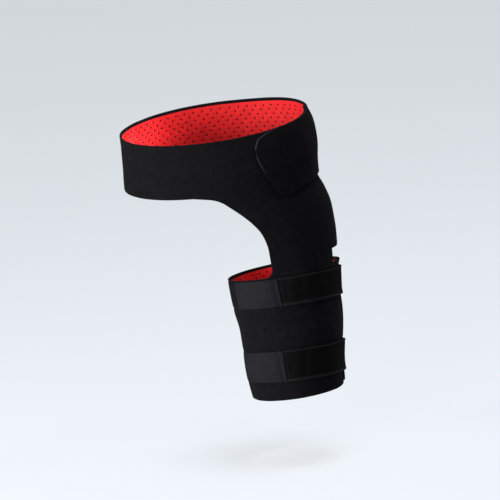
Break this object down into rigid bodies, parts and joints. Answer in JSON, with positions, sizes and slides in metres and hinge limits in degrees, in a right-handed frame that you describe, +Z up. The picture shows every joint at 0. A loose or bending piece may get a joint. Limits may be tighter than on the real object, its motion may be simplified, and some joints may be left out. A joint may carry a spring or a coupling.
{
  "type": "hip compression brace",
  "caption": "Wrap-around hip and thigh compression brace: a waist belt with an overlapping flap, a hip panel and a thigh wrap held by straps with grip tabs.",
  "frame": {"origin": "middle of the waist belt, on the axis of the waist, where the hips sit in it", "axes": "+X towards the braced hip, -Y towards the wearer's front, +Z up"},
  "size_m": [0.3913, 0.238, 0.5412],
  "materials": {
    "loop_cloth": "black padded stretch cloth with a brushed loop face",
    "red_lining": "smooth red perforated lining",
    "elastic_strap": "black woven elastic webbing",
    "grip_tab": "dark grey smooth hook-and-loop tab"
  },
  "bodies": {
    "root": {"waist_belt": "loop_cloth", "hip_panel": "loop_cloth", "thigh_wrap": "loop_cloth", "waist_lining": "red_lining", "hip_lining": "red_lining", "thigh_lining": "red_lining", "upper_strap": "elastic_strap", "lower_strap": "elastic_strap", "upper_strap_tab": "grip_tab", "lower_strap_tab": "grip_tab"}
  },
  "joints": []
}
